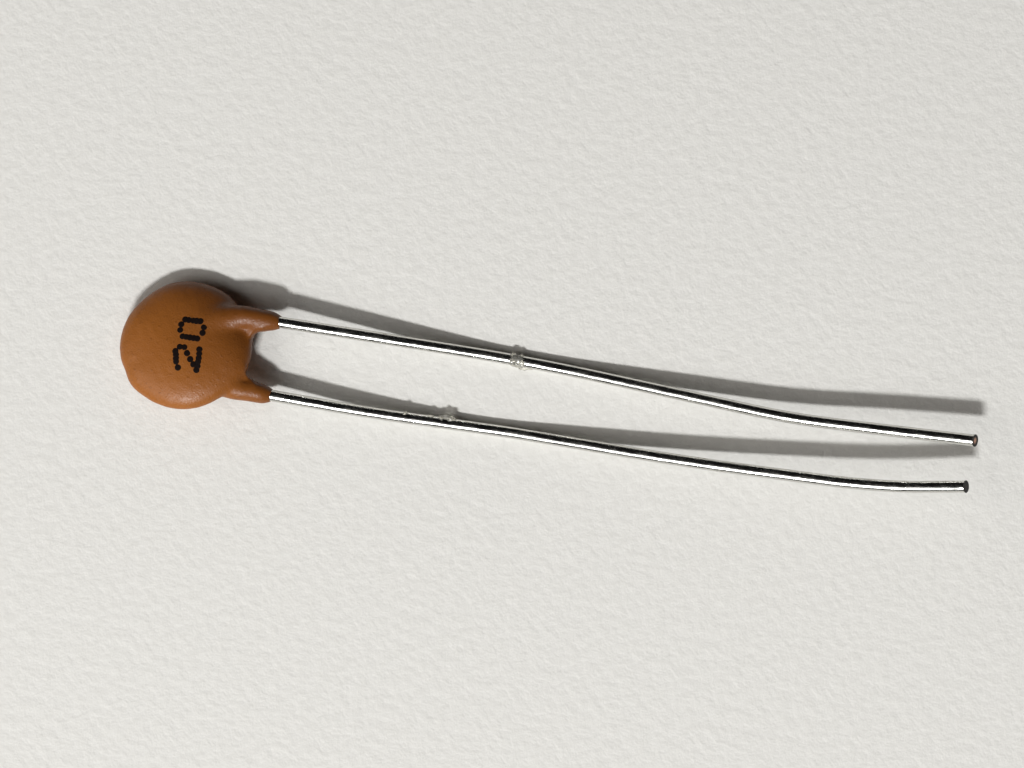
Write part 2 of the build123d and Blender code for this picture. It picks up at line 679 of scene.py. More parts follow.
@dataclass(frozen=True)
class MarkingInk:
    """Jet-printed marking ink: black, slightly brown where it thins, half dull."""

    ink: str = "0A0403"
    thin: str = "170A06"
    blot_mm: float = 0.06
    roughness: float = 0.6
    specular: float = 0.15

    def build(self) -> bpy.types.Material:
        """Builds the material: black that thins to brown in blots.

        Returns:
            The material.
        """
        material, tree, shader, place = blank_material("marking_ink")
        blot = add_node(
            tree,
            "ShaderNodeTexNoise",
            inputs={"Vector": place, "Scale": 1 / (self.blot_mm * MM), "Detail": 3.0},
        ).outputs["Fac"]
        colour = add_node(
            tree,
            "ShaderNodeMix",
            {"data_type": "RGBA"},
            {0: blot, 6: linear(self.ink), 7: linear(self.thin)},
        )
        tree.links.new(colour.outputs[2], shader.inputs["Base Color"])
        shader.inputs["Roughness"].default_value = self.roughness
        shader.inputs["Specular IOR Level"].default_value = self.specular
        return material


@dataclass(frozen=True)
class ClearResidue:
    """Clear adhesive residue: glassy, faintly yellow, with a crinkled skin."""

    tint: str = "FFFDF4"
    roughness: float = 0.08
    ior: float = 1.47
    clear: float = 0.84
    crinkle_mm: float = 0.07
    bump: float = 0.8
    bump_mm: float = 0.02

    def build(self) -> bpy.types.Material:
        """Builds the material: clear and crinkled.

        Returns:
            The material.
        """
        material, tree, shader, place = blank_material("clear_residue")
        crinkle = add_node(
            tree,
            "ShaderNodeTexNoise",
            inputs={"Vector": place, "Scale": 1 / (self.crinkle_mm * MM), "Detail": 3.0},
        ).outputs["Fac"]
        bump = add_node(
            tree,
            "ShaderNodeBump",
            inputs={"Height": crinkle, "Strength": self.bump, "Distance": self.bump_mm * MM},
        )
        tree.links.new(bump.outputs["Normal"], shader.inputs["Normal"])
        shader.inputs["Base Color"].default_value = linear(self.tint)
        shader.inputs["Roughness"].default_value = self.roughness
        shader.inputs["IOR"].default_value = self.ior
        shader.inputs["Transmission Weight"].default_value = self.clear
        return material


@dataclass(frozen=True)
class HiddenPart:
    """Finish of a part inside the coating: one colour mottled with another."""

    name: str
    light: str
    dark: str
    grain_mm: float
    metallic: float
    roughness: float
    bump: float = 0.3
    bump_mm: float = 0.005

    def build(self) -> bpy.types.Material:
        """Builds the material: a fine mottle of the two colours.

        Returns:
            The material.
        """
        material, tree, shader, place = blank_material(self.name)
        mottle = add_node(
            tree,
            "ShaderNodeTexNoise",
            inputs={"Vector": place, "Scale": 1 / (self.grain_mm * MM), "Detail": 4.0},
        ).outputs["Fac"]
        colour = add_node(
            tree,
            "ShaderNodeMix",
            {"data_type": "RGBA"},
            {0: mottle, 6: linear(self.light), 7: linear(self.dark)},
        )
        bump = add_node(
            tree,
            "ShaderNodeBump",
            inputs={"Height": mottle, "Strength": self.bump, "Distance": self.bump_mm * MM},
        )
        tree.links.new(colour.outputs[2], shader.inputs["Base Color"])
        tree.links.new(bump.outputs["Normal"], shader.inputs["Normal"])
        shader.inputs["Metallic"].default_value = self.metallic
        shader.inputs["Roughness"].default_value = self.roughness
        return material


@dataclass(frozen=True)
class PlainPaper:
    """Pale uncoated paper: warm white with a faint fibrous tooth."""

    base: str = "E8E7E3"
    shade: str = "DAD9D4"
    roughness: float = 0.95
    specular: float = 0.1
    fibre_mm: float = 0.35
    bump: float = 0.9
    bump_mm: float = 0.05

    def build(self) -> bpy.types.Material:
        """Builds the material: nearly plain, with a shallow fibrous bump.

        Returns:
            The material.
        """
        material, tree, shader, place = blank_material("plain_paper")
        fibre = add_node(
            tree,
            "ShaderNodeTexNoise",
            inputs={"Vector": place, "Scale": 1 / (self.fibre_mm * MM), "Detail": 6.0, "Roughness": 0.6},
        ).outputs["Fac"]
        colour = add_node(
            tree,
            "ShaderNodeMix",
            {"data_type": "RGBA"},
            {0: fibre, 6: linear(self.base), 7: linear(self.shade)},
        )
        bump = add_node(
            tree,
            "ShaderNodeBump",
            inputs={"Height": fibre, "Strength": self.bump, "Distance": self.bump_mm * MM},
        )
        tree.links.new(colour.outputs[2], shader.inputs["Base Color"])
        tree.links.new(bump.outputs["Normal"], shader.inputs["Normal"])
        shader.inputs["Roughness"].default_value = self.roughness
        shader.inputs["Specular IOR Level"].default_value = self.specular
        return material


# Lead wires


@dataclass
class Lead:
    """One bent lead wire, from its soldered end on the disc to its sheared tip."""

    name: str
    face: Face
    side: float
    corners: tuple[tuple[float, float, float], ...]
    tip: tuple[float, float, float]
    lie: Lie
    start: float = 0.10
    splay: float = 0.42
    bend_share: float = 0.45
    shear: float = 27.0
    shear_run: float = 0.45
    flare: float = 0.05
    flare_run: float = 0.16
    dent: float = 0.0015
    dent_size: float = 0.60
    spacing: float = 0.07
    least_steps: int = 4
    sides: int = 48
    seed: float = 0.0

    def route(self) -> list[Vector]:
        """Lists the corners of the lead in the row frame.

        Returns:
            The soldered end, the corner where the wire leaves the disc, the bends and the tip.
        """
        sign = self.face.value
        level = sign * self.lie.wire_level
        start, kink = self.lie.place(
            [
                (self.start, sign * (self.side - self.splay), level),
                (self.lie.ceramic_r, sign * self.side, level),
            ]
        )
        rim_x = self.lie.centre[0] + self.lie.body_r
        outside = [
            (rim_x + share * self.lie.reach, kink[1] + shift, self.lie.wire_r + lift)
            for share, shift, lift in self.corners + (self.tip,)
        ]
        return [Vector(p) for p in (start, kink, *outside)]

    def centreline(self) -> np.ndarray:
        """Rounds the route's corners into wide bends.

        Returns:
            Points along the wire, close enough together to look smooth.
        """
        corners = self.route()
        points = [corners[0]]
        for before, corner, after in zip(corners, corners[1:], corners[2:]):
            way_in, way_out = (corner - before).normalized(), (after - corner).normalized()
            angle = way_in.angle(way_out)
            cut = self.bend_share * min((corner - before).length, (after - corner).length)
            begin = corner - way_in * cut
            radius = cut / tan(angle / 2)
            inward = (way_out - way_in).normalized()
            centre = corner + inward * (radius / cos(angle / 2))
            steps = max(self.least_steps, int(radius * angle / self.spacing))
            normal = way_in.cross(way_out).normalized()
            for i in range(steps + 1):
                points.append(centre + Matrix.Rotation(angle * i / steps, 3, normal) @ (begin - centre))
        points.append(corners[-1])
        filled = [points[0]]
        for a, b in zip(points, points[1:]):
            pieces = max(1, round((b - a).length / self.spacing))
            filled += [a.lerp(b, (i + 1) / pieces) for i in range(pieces)]
        return np.array(filled)

    @staticmethod
    def tree() -> bpy.types.NodeTree:
        """Builds the tree that draws a wire along a curve and shears its end.

        Returns:
            The node group, with the wire's sizes as its inputs.
        """
        inputs = (
            ("Radius", "NodeSocketFloat"),
            ("Sides", "NodeSocketInt"),
            ("Tip", "NodeSocketVector"),
            ("Heading", "NodeSocketVector"),
            ("Upward", "NodeSocketVector"),
            ("Shear Slope", "NodeSocketFloat"),
            ("Shear Run", "NodeSocketFloat"),
            ("Flare", "NodeSocketFloat"),
            ("Flare Run", "NodeSocketFloat"),
            ("Dent", "NodeSocketFloat"),
            ("Dents Per Metre", "NodeSocketFloat"),
            ("Dent Offset", "NodeSocketVector"),
            ("Wire", "NodeSocketMaterial"),
            ("Cut", "NodeSocketMaterial"),
        )
        tree, given = blank_tree("wire_along_path", inputs)
        ring = add_node(
            tree,
            "GeometryNodeCurvePrimitiveCircle",
            inputs={"Resolution": given["Sides"], "Radius": given["Radius"]},
        )
        tube = add_node(
            tree,
            "GeometryNodeCurveToMesh",
            inputs={"Curve": given["Geometry"], "Profile Curve": ring.outputs["Curve"], "Fill Caps": True},
        ).outputs["Mesh"]
        here = add_node(tree, "GeometryNodeInputPosition").outputs[0]
        from_tip = add_node(
            tree, "ShaderNodeVectorMath", {"operation": "SUBTRACT"}, {0: here, 1: given["Tip"]}
        ).outputs[0]
        ahead = add_node(
            tree, "ShaderNodeVectorMath", {"operation": "DOT_PRODUCT"}, {0: from_tip, 1: given["Heading"]}
        ).outputs["Value"]
        forward = add_node(
            tree, "ShaderNodeVectorMath", {"operation": "SCALE"}, {0: given["Heading"], "Scale": ahead}
        ).outputs[0]
        outward = add_node(
            tree, "ShaderNodeVectorMath", {"operation": "SUBTRACT"}, {0: from_tip, 1: forward}
        ).outputs[0]
        height = add_node(
            tree, "ShaderNodeVectorMath", {"operation": "DOT_PRODUCT"}, {0: outward, 1: given["Upward"]}
        ).outputs["Value"]
        behind = add_node(tree, "ShaderNodeMath", {"operation": "MULTIPLY"}, {0: ahead, 1: -1.0}).outputs[0]
        flaring = add_node(
            tree,
            "ShaderNodeMapRange",
            {"interpolation_type": "SMOOTHSTEP"},
            {0: behind, 1: 0.0, 2: given["Flare Run"], 3: given["Flare"], 4: 0.0},
        ).outputs[0]
        flared = add_node(
            tree, "ShaderNodeVectorMath", {"operation": "SCALE"}, {0: outward, "Scale": flaring}
        ).outputs[0]
        shearing = add_node(
            tree,
            "ShaderNodeMapRange",
            {"interpolation_type": "SMOOTHSTEP"},
            {0: behind, 1: 0.0, 2: given["Shear Run"], 3: given["Shear Slope"], 4: 0.0},
        ).outputs[0]
        over = add_node(
            tree, "ShaderNodeMath", {"operation": "ADD"}, {0: height, 1: given["Radius"]}
        ).outputs[0]
        drop = add_node(tree, "ShaderNodeMath", {"operation": "MULTIPLY"}, {0: over, 1: shearing}).outputs[0]
        sheared = add_node(
            tree, "ShaderNodeVectorMath", {"operation": "SCALE"}, {0: given["Heading"], "Scale": drop}
        ).outputs[0]
        noise_place = add_node(
            tree, "ShaderNodeVectorMath", {"operation": "ADD"}, {0: here, 1: given["Dent Offset"]}
        ).outputs[0]
        dent = add_node(
            tree,
            "ShaderNodeTexNoise",
            inputs={"Vector": noise_place, "Scale": given["Dents Per Metre"], "Detail": 3.0},
        ).outputs["Fac"]

        # The noise seldom passes its highest level, so nearly every dent goes inwards
        highest, swing = 0.75, 0.5
        depth = add_node(
            tree,
            "ShaderNodeMapRange",
            {"clamp": False},
            {0: dent, 1: highest, 2: highest + swing, 3: 0.0, 4: given["Dent"]},
        ).outputs[0]
        normal = add_node(tree, "GeometryNodeInputNormal").outputs[0]
        dented = add_node(
            tree, "ShaderNodeVectorMath", {"operation": "SCALE"}, {0: normal, "Scale": depth}
        ).outputs[0]
        worn = add_node(
            tree, "ShaderNodeVectorMath", {"operation": "ADD"}, {0: flared, 1: dented}
        ).outputs[0]
        offset = add_node(
            tree, "ShaderNodeVectorMath", {"operation": "SUBTRACT"}, {0: worn, 1: sheared}
        ).outputs[0]
        moved = add_node(
            tree, "GeometryNodeSetPosition", inputs={"Geometry": tube, "Offset": offset}
        ).outputs[0]
        real = add_node(tree, "GeometryNodeRealizeInstances", inputs={0: moved}).outputs[0]
        plated = add_node(
            tree, "GeometryNodeSetMaterial", inputs={"Geometry": real, "Material": given["Wire"]}
        ).outputs[0]

        # The tube's sides are quads, so only its ends have more corners
        quad_corners = 4.0
        around = add_node(tree, "GeometryNodeInputMeshFaceNeighbors").outputs["Vertex Count"]
        capped = add_node(
            tree, "ShaderNodeMath", {"operation": "GREATER_THAN"}, {0: around, 1: quad_corners}
        ).outputs[0]
        cut = add_node(
            tree,
            "GeometryNodeSetMaterial",
            inputs={"Geometry": plated, "Selection": capped, "Material": given["Cut"]},
        ).outputs[0]
        add_node(tree, "NodeGroupOutput", inputs={0: cut})
        return tree

    def build(self, tree: bpy.types.NodeTree, wire: bpy.types.Material, cut: CutEnd) -> bpy.types.Object:
        """Builds the wire and stands it in for its CAD node.

        Args:
            tree: The wire tree.
            wire: The plated finish.
            cut: The finish of the sheared end.

        Returns:
            The finished wire.
        """
        points = self.centreline()
        spline = bpy.data.curves.new(self.name, "CURVE")
        spline.dimensions = "3D"
        run = spline.splines.new("POLY")
        run.points.add(len(points) - 1)
        run.points.foreach_set("co", np.c_[points * MM, np.ones(len(points))].ravel())
        path = bpy.data.objects.new(self.name + "_path", spline)
        bpy.context.scene.collection.objects.link(path)
        tip = Vector(points[-1])
        heading = (tip - Vector(points[-2])).normalized()
        across = Vector((0, 0, 1)).cross(heading).normalized()
        upward = heading.cross(across).normalized()
        slope = tan(radians(self.shear))
        middle = np.array(tip - heading * self.lie.wire_r * slope)
        values = {
            "Radius": self.lie.wire_r * MM,
            "Sides": self.sides,
            "Tip": tip * MM,
            "Heading": heading,
            "Upward": upward,
            "Shear Slope": slope,
            "Shear Run": self.shear_run * MM,
            "Flare": self.flare,
            "Flare Run": self.flare_run * MM,
            "Dent": self.dent * MM,
            "Dents Per Metre": 1 / (self.dent_size * MM),
            "Dent Offset": Vector((self.seed, self.seed, self.seed)),
            "Wire": wire,
            "Cut": cut.build(self.name + "_cut", middle, self.lie.wire_r),
        }
        made = run_tree(path, tree, values, self.name + "_wire")
        made.data.polygons.foreach_set("use_smooth", [len(p.vertices) == 4 for p in made.data.polygons])
        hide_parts(self.name)
        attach(made, "root")
        return made


# Coating


@dataclass
class Coating:
    """The dipped shell: a lens that melts into two legs, which thin out along the leads."""

    lie: Lie
    leads: tuple[Lead, ...]
    leg_length: float = 1.30
    sections: tuple[tuple[float, float, float, float], ...] = (
        (-1.12, 0.20, 0.08, 0.10),
        (-0.62, 0.26, 0.13, 0.06),
        (0.00, 0.20, 0.17, 0.08),
        (0.35, 0.165, 0.17, 0.06),
        (0.78, 0.14, 0.145, 0.02),
        (1.00, 0.02, 0.02, 0.0),
    )
    section_blend: float = 0.22
    section_rows: int = 240
    lip_round: float = 0.10
    lip_ragged: float = 0.02
    lip_waves: float = 3.0
    root_reach: float = 0.34
    web_r: tuple[float, float] = (0.42, 0.28)
    web_t: float = 0.22
    web_reach: float = 0.25
    web_round: float = 0.20
    web_melt: float = 0.22
    profile: tuple[float, float] = (2.4, 2.0)
    flatten: float = 0.97
    step: float = 0.034
    outline: tuple[tuple[float, float, float], ...] = (
        (-172.0, 16.0, 0.014),
        (-148.0, 6.0, -0.030),
        (-133.0, 9.0, 0.030),
        (141.0, 20.0, -0.045),
        (-4.0, 22.0, 0.075),
    )
    outline_span: tuple[float, float] = (0.8, 2.0)
    least_out: float = 0.001
    least_slope: float = 0.5
    wave_height: float = 0.008
    pebble_height: float = 0.0015
    inset: float = 0.014
    # Direction and span of the painted shade that darkens the resin towards the legs' side
    shade_way: tuple[float, float] = (0.77, 0.64)
    shade_span: tuple[float, float] = (-1.2, 2.4)
    margin: float = 0.25
    wave: Ripple = field(default_factory=lambda: Ripple(0.9, seed=4))
    pebble: Ripple = field(default_factory=lambda: Ripple(0.17, seed=9, waves=24))
    tables: list[np.ndarray] = field(default_factory=list)

    def lens(self, p: np.ndarray) -> np.ndarray:
        """Gives the distance to the domed disc, whose outline is a little uneven.

        Args:
            p: Points in the disc's own frame.

        Returns:
            Signed distances.
        """
        lie = self.lie
        rho = np.hypot(p[:, 0], p[:, 1])
        angle = np.degrees(np.arctan2(p[:, 1], p[:, 0]))
        bulge = np.zeros(len(p))
        for at, width, height in self.outline:
            off = (angle - at + 180) % 360 - 180
            bulge += height * np.exp(-((off / width) ** 2))
        drawn_in = rho - bulge * smooth_step(*self.outline_span, rho)
        out = np.clip(drawn_in, self.least_out, None) / lie.body_r
        half_t = self.flatten * lie.half_t
        up = np.abs(p[:, 2]) / half_t
        flat, high = self.profile
        level = out**flat + up**high - 1
        steep = np.hypot(flat * out ** (flat - 1) / lie.body_r, high * up ** (high - 1) / half_t)
        return level / np.maximum(steep, self.least_slope)

    def web(self, p: np.ndarray, table: np.ndarray, corner_r: float) -> np.ndarray:
        """Gives the distance to the web that rounds the corner between a leg and the disc.

        Args:
            p: Points in the disc's own frame.
            table: The leg's sections.
            corner_r: Radius of the round corner in plan.

        Returns:
            Signed distances.
        """
        root = self.lie.ceramic_r + corner_r
        y, z, half_width = (np.interp(root, table[:, 0], column) for column in table.T[1:4])
        side = np.sign(y)
        across = abs(y) - half_width - corner_r
        middle = np.array([((self.lie.body_r + corner_r) ** 2 - across**2) ** 0.5, side * across])
        to_disc = -middle / np.linalg.norm(middle)
        to_leg = np.array([0.0, side])
        inward = (to_disc + to_leg) / np.linalg.norm(to_disc + to_leg)
        half_turn = acos(inward @ to_leg)
        half_chord = corner_r * sin(half_turn)
        from_middle = p[:, :2] - middle
        ahead = from_middle @ inward
        aside = from_middle @ (side * np.array([inward[1], -inward[0]]))
        plan = np.maximum(corner_r - np.linalg.norm(from_middle, axis=1), corner_r * cos(half_turn) - ahead)
        plan = np.maximum(plan, ahead - corner_r / cos(half_turn) - self.web_reach)
        plan = np.maximum(plan, np.abs(aside) - half_chord - self.web_reach)
        share = smooth_step(-half_chord, half_chord, aside)
        slab = np.abs(p[:, 2] - z * share) - self.web_t
        return -melt(-plan, -slab, self.web_round)

    def leg_table(self, lead: Lead) -> np.ndarray:
        """Lists the leg's sections close together, with their corners smoothed out.

        Args:
            lead: The wire that the leg runs down.

        Returns:
            Rows of the section's middle, half width and half height, in the disc's own frame.
        """
        seat, kink, ahead = self.lie.local(np.array(lead.route()[:3]))
        share, side_wall, top_wall, shift = np.array(self.sections).T
        inner = (kink - seat) / np.linalg.norm(kink - seat)
        outer = (ahead - kink) / np.linalg.norm(ahead - kink)
        run = np.where(share[:, None] < 0, inner, outer)
        middle = kink + run * (share * self.leg_length)[:, None]
        middle[:, 2] -= lead.face.value * shift
        rough = np.c_[middle, self.lie.wire_r + side_wall, self.lie.wire_r + top_wall]
        fine = np.linspace(middle[0, 0], middle[-1, 0], self.section_rows)
        half = int(self.section_blend / (fine[1] - fine[0]))
        weight = np.hanning(2 * half + 1)
        columns = [fine]
        for column in rough.T[1:]:
            drawn = np.pad(np.interp(fine, rough[:, 0], column), half, "reflect", reflect_type="odd")
            columns.append(np.convolve(drawn, weight / weight.sum(), "valid"))
        return np.stack(columns, axis=1)

    def distance(self, p: np.ndarray) -> np.ndarray:
        """Gives the distance to the whole shell.

        Args:
            p: Points in the disc's own frame.

        Returns:
            Signed distances.
        """
        shape = self.lens(p)
        for table, corner_r in zip(self.tables, self.web_r):
            at, *columns = table.T
            y, z, half_width, half_height = (np.interp(p[:, 0], at, column) for column in columns)
            sideways, upwards = (p[:, 1] - y) / half_width, (p[:, 2] - z) / half_height
            leg = (np.hypot(sideways, upwards) - 1) * np.sqrt(half_width * half_height)
            leg = np.maximum(leg, at[0] - p[:, 0])
            ragged = self.lip_ragged * self.wave(p * self.lip_waves)
            leg = -melt(-leg, -(p[:, 0] - at[-1] - ragged), self.lip_round)
            shape = melt(shape, leg, self.root_reach)
            shape = melt(shape, self.web(p, table, corner_r), self.web_melt)
        return shape + self.wave_height * self.wave(p) + self.pebble_height * self.pebble(p) + self.inset

    def build(self, finish: bpy.types.Material) -> bpy.types.Object:
        """Meshes the shell and stands it in for its CAD node.

        Args:
            finish: The resin's material.

        Returns:
            The finished shell.
        """
        self.tables = [self.leg_table(lead) for lead in self.leads]
        reach = self.lie.body_r + self.margin
        leg_end = self.lie.ceramic_r + self.leg_length
        high = np.array([leg_end + self.margin, reach, self.lie.half_t + self.margin])
        low = np.array([-reach, -reach, -high[2]])
        points, quads = solid_from_field(self.distance, low, high, self.step)
        made = mesh_object("coating_shell", self.lie.place(points), quads)
        made.data.materials.append(finish)
        # Painted shade: a share that rises towards the upper right, away from the lamps, and darkens the
        # resin's colour
        painted_shade = made.data.attributes.new("painted_shade", "FLOAT", "POINT")
        towards_legs = points[:, :2] @ np.array(self.shade_way)
        painted_shade.data.foreach_set("value", smooth_step(*self.shade_span, towards_legs).astype(np.float32))
        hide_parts("coating")
        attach(made, "root")
        return made


# Printed digits


@dataclass
class DotPrint:
    """Two digits in a dot-matrix print, each dot a thin drop of ink on the domed face."""

    lie: Lie
    dot_r: float = 0.114
    dot_t: float = 0.005
    size_spread: float = 0.10
    segments: int = 20
    rings: int = 10
    above: float = 2.0
    seed: int = 3
    zero: tuple[tuple[float, float], ...] = (
        (0.00, 0.73),
        (0.13, 0.73),
        (0.27, 0.73),
        (0.40, 0.73),
        (0.53, 0.74),
        (0.02, 0.13),
        (0.15, 0.13),
        (0.28, 0.13),
        (0.41, 0.13),
        (0.54, 0.13),
        (-0.10, 0.54),
        (-0.10, 0.34),
        (0.69, 0.55),
        (0.68, 0.35),
    )
    two: tuple[tuple[float, float], ...] = (
        (0.06, -0.95),
        (-0.04, -0.76),
        (-0.06, -0.65),
        (-0.08, -0.53),
        (-0.12, -0.41),
        (0.00, -0.24),
        (0.16, -0.23),
        (0.29, -0.42),
        (0.43, -0.61),
        (0.57, -0.77),
        (0.70, -0.94),
        (0.72, -0.80),
        (0.71, -0.66),
        (0.71, -0.53),
        (0.70, -0.38),
        (0.68, -0.23),
    )

    def tree(self) -> bpy.types.NodeTree:
        """Builds the tree that sets a drop of ink on each point and turns it to the face.

        Returns:
            The node group, with the drop's sizes as its inputs.
        """
        inputs = (
            ("Dot Radius", "NodeSocketFloat"),
            ("Dot Thickness", "NodeSocketFloat"),
            ("Size Spread", "NodeSocketFloat"),
            ("Seed", "NodeSocketInt"),
            ("Ink", "NodeSocketMaterial"),
        )
        tree, given = blank_tree("ink_dots", inputs)
        ball = add_node(
            tree,
            "GeometryNodeMeshUVSphere",
            inputs={"Segments": self.segments, "Rings": self.rings, "Radius": 1.0},
        ).outputs["Mesh"]
        flat = add_node(
            tree,
            "ShaderNodeCombineXYZ",
            inputs={0: given["Dot Radius"], 1: given["Dot Radius"], 2: given["Dot Thickness"]},
        ).outputs[0]
        drop = add_node(tree, "GeometryNodeTransform", inputs={"Geometry": ball, "Scale": flat}).outputs[0]
        face = add_node(
            tree, "GeometryNodeInputNamedAttribute", {"data_type": "FLOAT_VECTOR"}, {"Name": "face_normal"}
        ).outputs["Attribute"]
        turned = add_node(tree, "FunctionNodeAlignEulerToVector", {"axis": "Z"}, {"Vector": face}).outputs[0]
        least = add_node(
            tree, "ShaderNodeMath", {"operation": "SUBTRACT"}, {0: 1.0, 1: given["Size Spread"]}
        ).outputs[0]
        spread = add_node(
            tree, "FunctionNodeRandomValue", inputs={2: least, 3: 1.0, "Seed": given["Seed"]}
        )
        placed = add_node(
            tree,
            "GeometryNodeInstanceOnPoints",
            inputs={
                "Points": given["Geometry"],
                "Instance": drop,
                "Rotation": turned,
                "Scale": spread.outputs[1],
            },
        ).outputs[0]
        real = add_node(tree, "GeometryNodeRealizeInstances", inputs={0: placed}).outputs[0]
        inked = add_node(
            tree, "GeometryNodeSetMaterial", inputs={"Geometry": real, "Material": given["Ink"]}
        ).outputs[0]
        add_node(tree, "NodeGroupOutput", inputs={0: inked})
        return tree

    def build(
        self,
        name: str,
        dots: tuple[tuple[float, float], ...],
        shell: bpy.types.Object,
        ink: bpy.types.Material,
    ) -> bpy.types.Object:
        """Prints one digit on the shell.

        Args:
            name: Name of the piece.
            dots: Places of the dots on the face, in the disc's own frame.
            shell: The coating that takes the ink.
            ink: The ink's material.

        Returns:
            The finished digit.
        """
        skin = BVHTree.FromObject(shell, bpy.context.evaluated_depsgraph_get())
        down = Vector(self.lie.turn @ np.array([0, 0, -1.0]))
        places, normals = [], []
        for x, y in dots:
            start = Vector(self.lie.place(np.array([x, y, self.above])) * MM)
            spot, normal, _, _ = skin.ray_cast(start, down)
            places.append(spot)
            normals.append(normal)
        mesh = bpy.data.meshes.new(name + "_places")
        mesh.from_pydata([tuple(p) for p in places], [], [])
        turned = mesh.attributes.new("face_normal", "FLOAT_VECTOR", "POINT")
        turned.data.foreach_set("vector", [c for n in normals for c in n])
        holder = bpy.data.objects.new(name + "_places", mesh)
        bpy.context.scene.collection.objects.link(holder)
        values = {
            "Dot Radius": self.dot_r * MM,
            "Dot Thickness": self.dot_t * MM,
            "Size Spread": self.size_spread,
            "Seed": self.seed,
            "Ink": ink,
        }
        made = run_tree(holder, self.tree(), values, name)
        made.data.polygons.foreach_set("use_smooth", [True] * len(made.data.polygons))
        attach(made, "root")
        return made


# Residue


@dataclass
class Residue:
    """Specks of clear adhesive left on a lead, each a lump of a few drops run together."""

    name: str
    drops: tuple[tuple[float, float, float, float, float, float], ...]
    seed: int
    step: float = 0.016
    melt_reach: float = 0.08
    crinkle: float = 0.014
    crinkle_size: float = 0.11
    margin: float = 0.12
    far: float = 9.0

    def __post_init__(self) -> None:
        """Draws the crinkles of the lump's skin."""
        self.ripple = Ripple(self.crinkle_size, self.seed)

    def distance(self, p: np.ndarray) -> np.ndarray:
        """Gives the distance to the drops, run together.

        Args:
            p: Points in the row frame.

        Returns:
            Signed distances.
        """
        shape = np.full(len(p), self.far)
        for row in np.array(self.drops):
            scaled = np.linalg.norm((p - row[:3]) / row[3:], axis=1)
            shape = melt(shape, (scaled - 1) * row[3:].min(), self.melt_reach)
        return shape + self.crinkle * self.ripple(p)

    def build(self, finish: bpy.types.Material) -> bpy.types.Object:
        """Meshes the lump.

        Args:
            finish: The clear material.

        Returns:
            The finished lump.
        """
        middle, radii = np.hsplit(np.array(self.drops), 2)
        low = (middle - radii).min(axis=0) - self.margin
        high = (middle + radii).max(axis=0) + self.margin
        points, quads = solid_from_field(self.distance, low, high, self.step)
        made = mesh_object(self.name, points, quads)
        made.data.materials.append(finish)
        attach(made, "root")
        return made


# Surroundings


@dataclass(frozen=True)
class Lamp:
    """A soft rectangular lamp that faces the part, with its size and distance in metres.

    Its azimuth is in degrees to the photograph's right from its lower side, its
    elevation in degrees above the floor, and its power in watts.
    """

    name: str
    azimuth: float
    elevation: float
    away: float
    size: tuple[float, float]
    power: float
    tint: str = "FFFFFF"


@dataclass
class Studio:
    """The pale floor, the lamps and the camera."""

    roll: float = 8.6
    tilt: float = 5.0
    distance: float = 110.0
    focal_px: float = 3223.0
    target: tuple[float, float, float] = (-1.169, 0.340, 0.0)
    image_width: int = 1024
    sensor_mm: float = 36.0
    clip_m: tuple[float, float] = (0.01, 20.0)
    floor_half: float = 1500.0
    floor_drop: float = 0.004
    room_colour: str = "FFFFFF"
    room_light: float = 0.006
    lamps: tuple[Lamp, ...] = (
        Lamp("key", -14.0, 50.0, 0.40, (0.075, 0.028), 1.40),
        Lamp("fill", -26.0, 50.0, 0.42, (0.60, 0.36), 0.50),
        Lamp("left", -80.0, 40.0, 0.42, (0.30, 0.24), 0.45, "FFF7EF"),
    )

    def axes(self) -> tuple[Vector, Vector]:
        """Gives the directions of the photograph's right and top in the row frame."""
        across = Vector((cos(radians(self.roll)), sin(radians(self.roll)), 0))
        return across, Vector((-across.y, across.x, 0))

    def set_camera(self) -> None:
        """Sets the camera nearly straight above the part, as the photograph has it."""
        across, top = self.axes()
        up = Vector((0, 0, 1))
        back = (across * sin(radians(self.tilt)) + up * cos(radians(self.tilt))).normalized()
        right = (across * cos(radians(self.tilt)) - up * sin(radians(self.tilt))).normalized()
        data = bpy.data.cameras.new("camera")
        data.sensor_width = self.sensor_mm
        data.lens = self.sensor_mm * self.focal_px / self.image_width
        data.clip_start, data.clip_end = self.clip_m
        camera = bpy.data.objects.new("camera", data)
        bpy.context.scene.collection.objects.link(camera)
        place = Matrix((right, top, back)).transposed().to_4x4()
        place.translation = (Vector(self.target) + back * self.distance) * MM
        camera.matrix_world = place
        bpy.context.scene.camera = camera

    def hang(self, lamp: Lamp) -> None:
        """Hangs a lamp over the part.

        Args:
            lamp: The lamp.
        """
        across, top = self.axes()
        azimuth, elevation = radians(lamp.azimuth), radians(lamp.elevation)
        level = across * sin(azimuth) - top * cos(azimuth)
        towards = level * cos(elevation) + Vector((0, 0, 1)) * sin(elevation)
        data = bpy.data.lights.new(lamp.name, "AREA")
        data.shape = "RECTANGLE"
        data.size, data.size_y = lamp.size
        data.energy = lamp.power
        data.color = linear(lamp.tint)[:3]
        made = bpy.data.objects.new(lamp.name, data)
        bpy.context.scene.collection.objects.link(made)
        made.location = towards * lamp.away
        made.rotation_euler = towards.to_track_quat("Z", "Y").to_euler()

    def lay_floor(self, finish: bpy.types.Material) -> None:
        """Lays the floor under the part.

        Args:
            finish: The paper's material.
        """
        half, level = self.floor_half, -self.floor_drop
        corners = [(-half, -half, level), (half, -half, level), (half, half, level), (-half, half, level)]
        made = mesh_object("floor", np.array(corners), [(0, 1, 2, 3)], smooth=False)
        made.data.materials.append(finish)

    def build(self, paper: bpy.types.Material) -> None:
        """Sets up the camera, the floor, the lamps and the dim room.

        Args:
            paper: The floor's material.
        """
        scene = bpy.context.scene
        scene.view_settings.view_transform = "Standard"
        self.set_camera()
        self.lay_floor(paper)
        for lamp in self.lamps:
            self.hang(lamp)
        world = bpy.data.worlds.new("room")
        world.use_nodes = True
        sky = world.node_tree.nodes["Background"]
        sky.inputs["Color"].default_value = linear(self.room_colour)
        sky.inputs["Strength"].default_value = self.room_light
        scene.world = world


